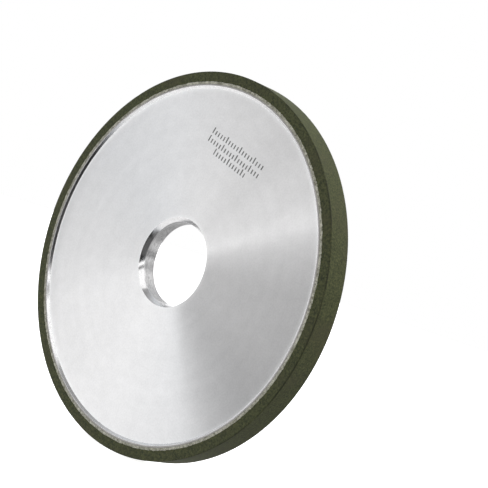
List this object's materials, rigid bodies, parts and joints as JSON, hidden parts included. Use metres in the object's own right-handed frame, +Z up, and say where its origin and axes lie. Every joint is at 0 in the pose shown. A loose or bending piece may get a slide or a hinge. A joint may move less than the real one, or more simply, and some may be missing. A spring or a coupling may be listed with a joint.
{
  "type": "diamond grinding wheel",
  "caption": "Straight 1A1 diamond grinding wheel: flat aluminium disc with a plain chamfered bore, relieved faces and a resin-bonded diamond rim around its edge.",
  "frame": {"origin": "centre of the bore, midway between the wheel's two faces", "axes": "+Y along the wheel's axis, away from the marked face, which looks towards -Y; +Z up, with the wheel standing upright"},
  "size_m": [0.15, 0.01, 0.15],
  "materials": {
    "turned_aluminium": "satin",
    "filled_bond": "matte",
    "diamond_bond": "matte"
  },
  "bodies": {
    "root": {"hub": "turned_aluminium", "backing_ring": "filled_bond", "abrasive_rim": "diamond_bond"}
  },
  "joints": []
}
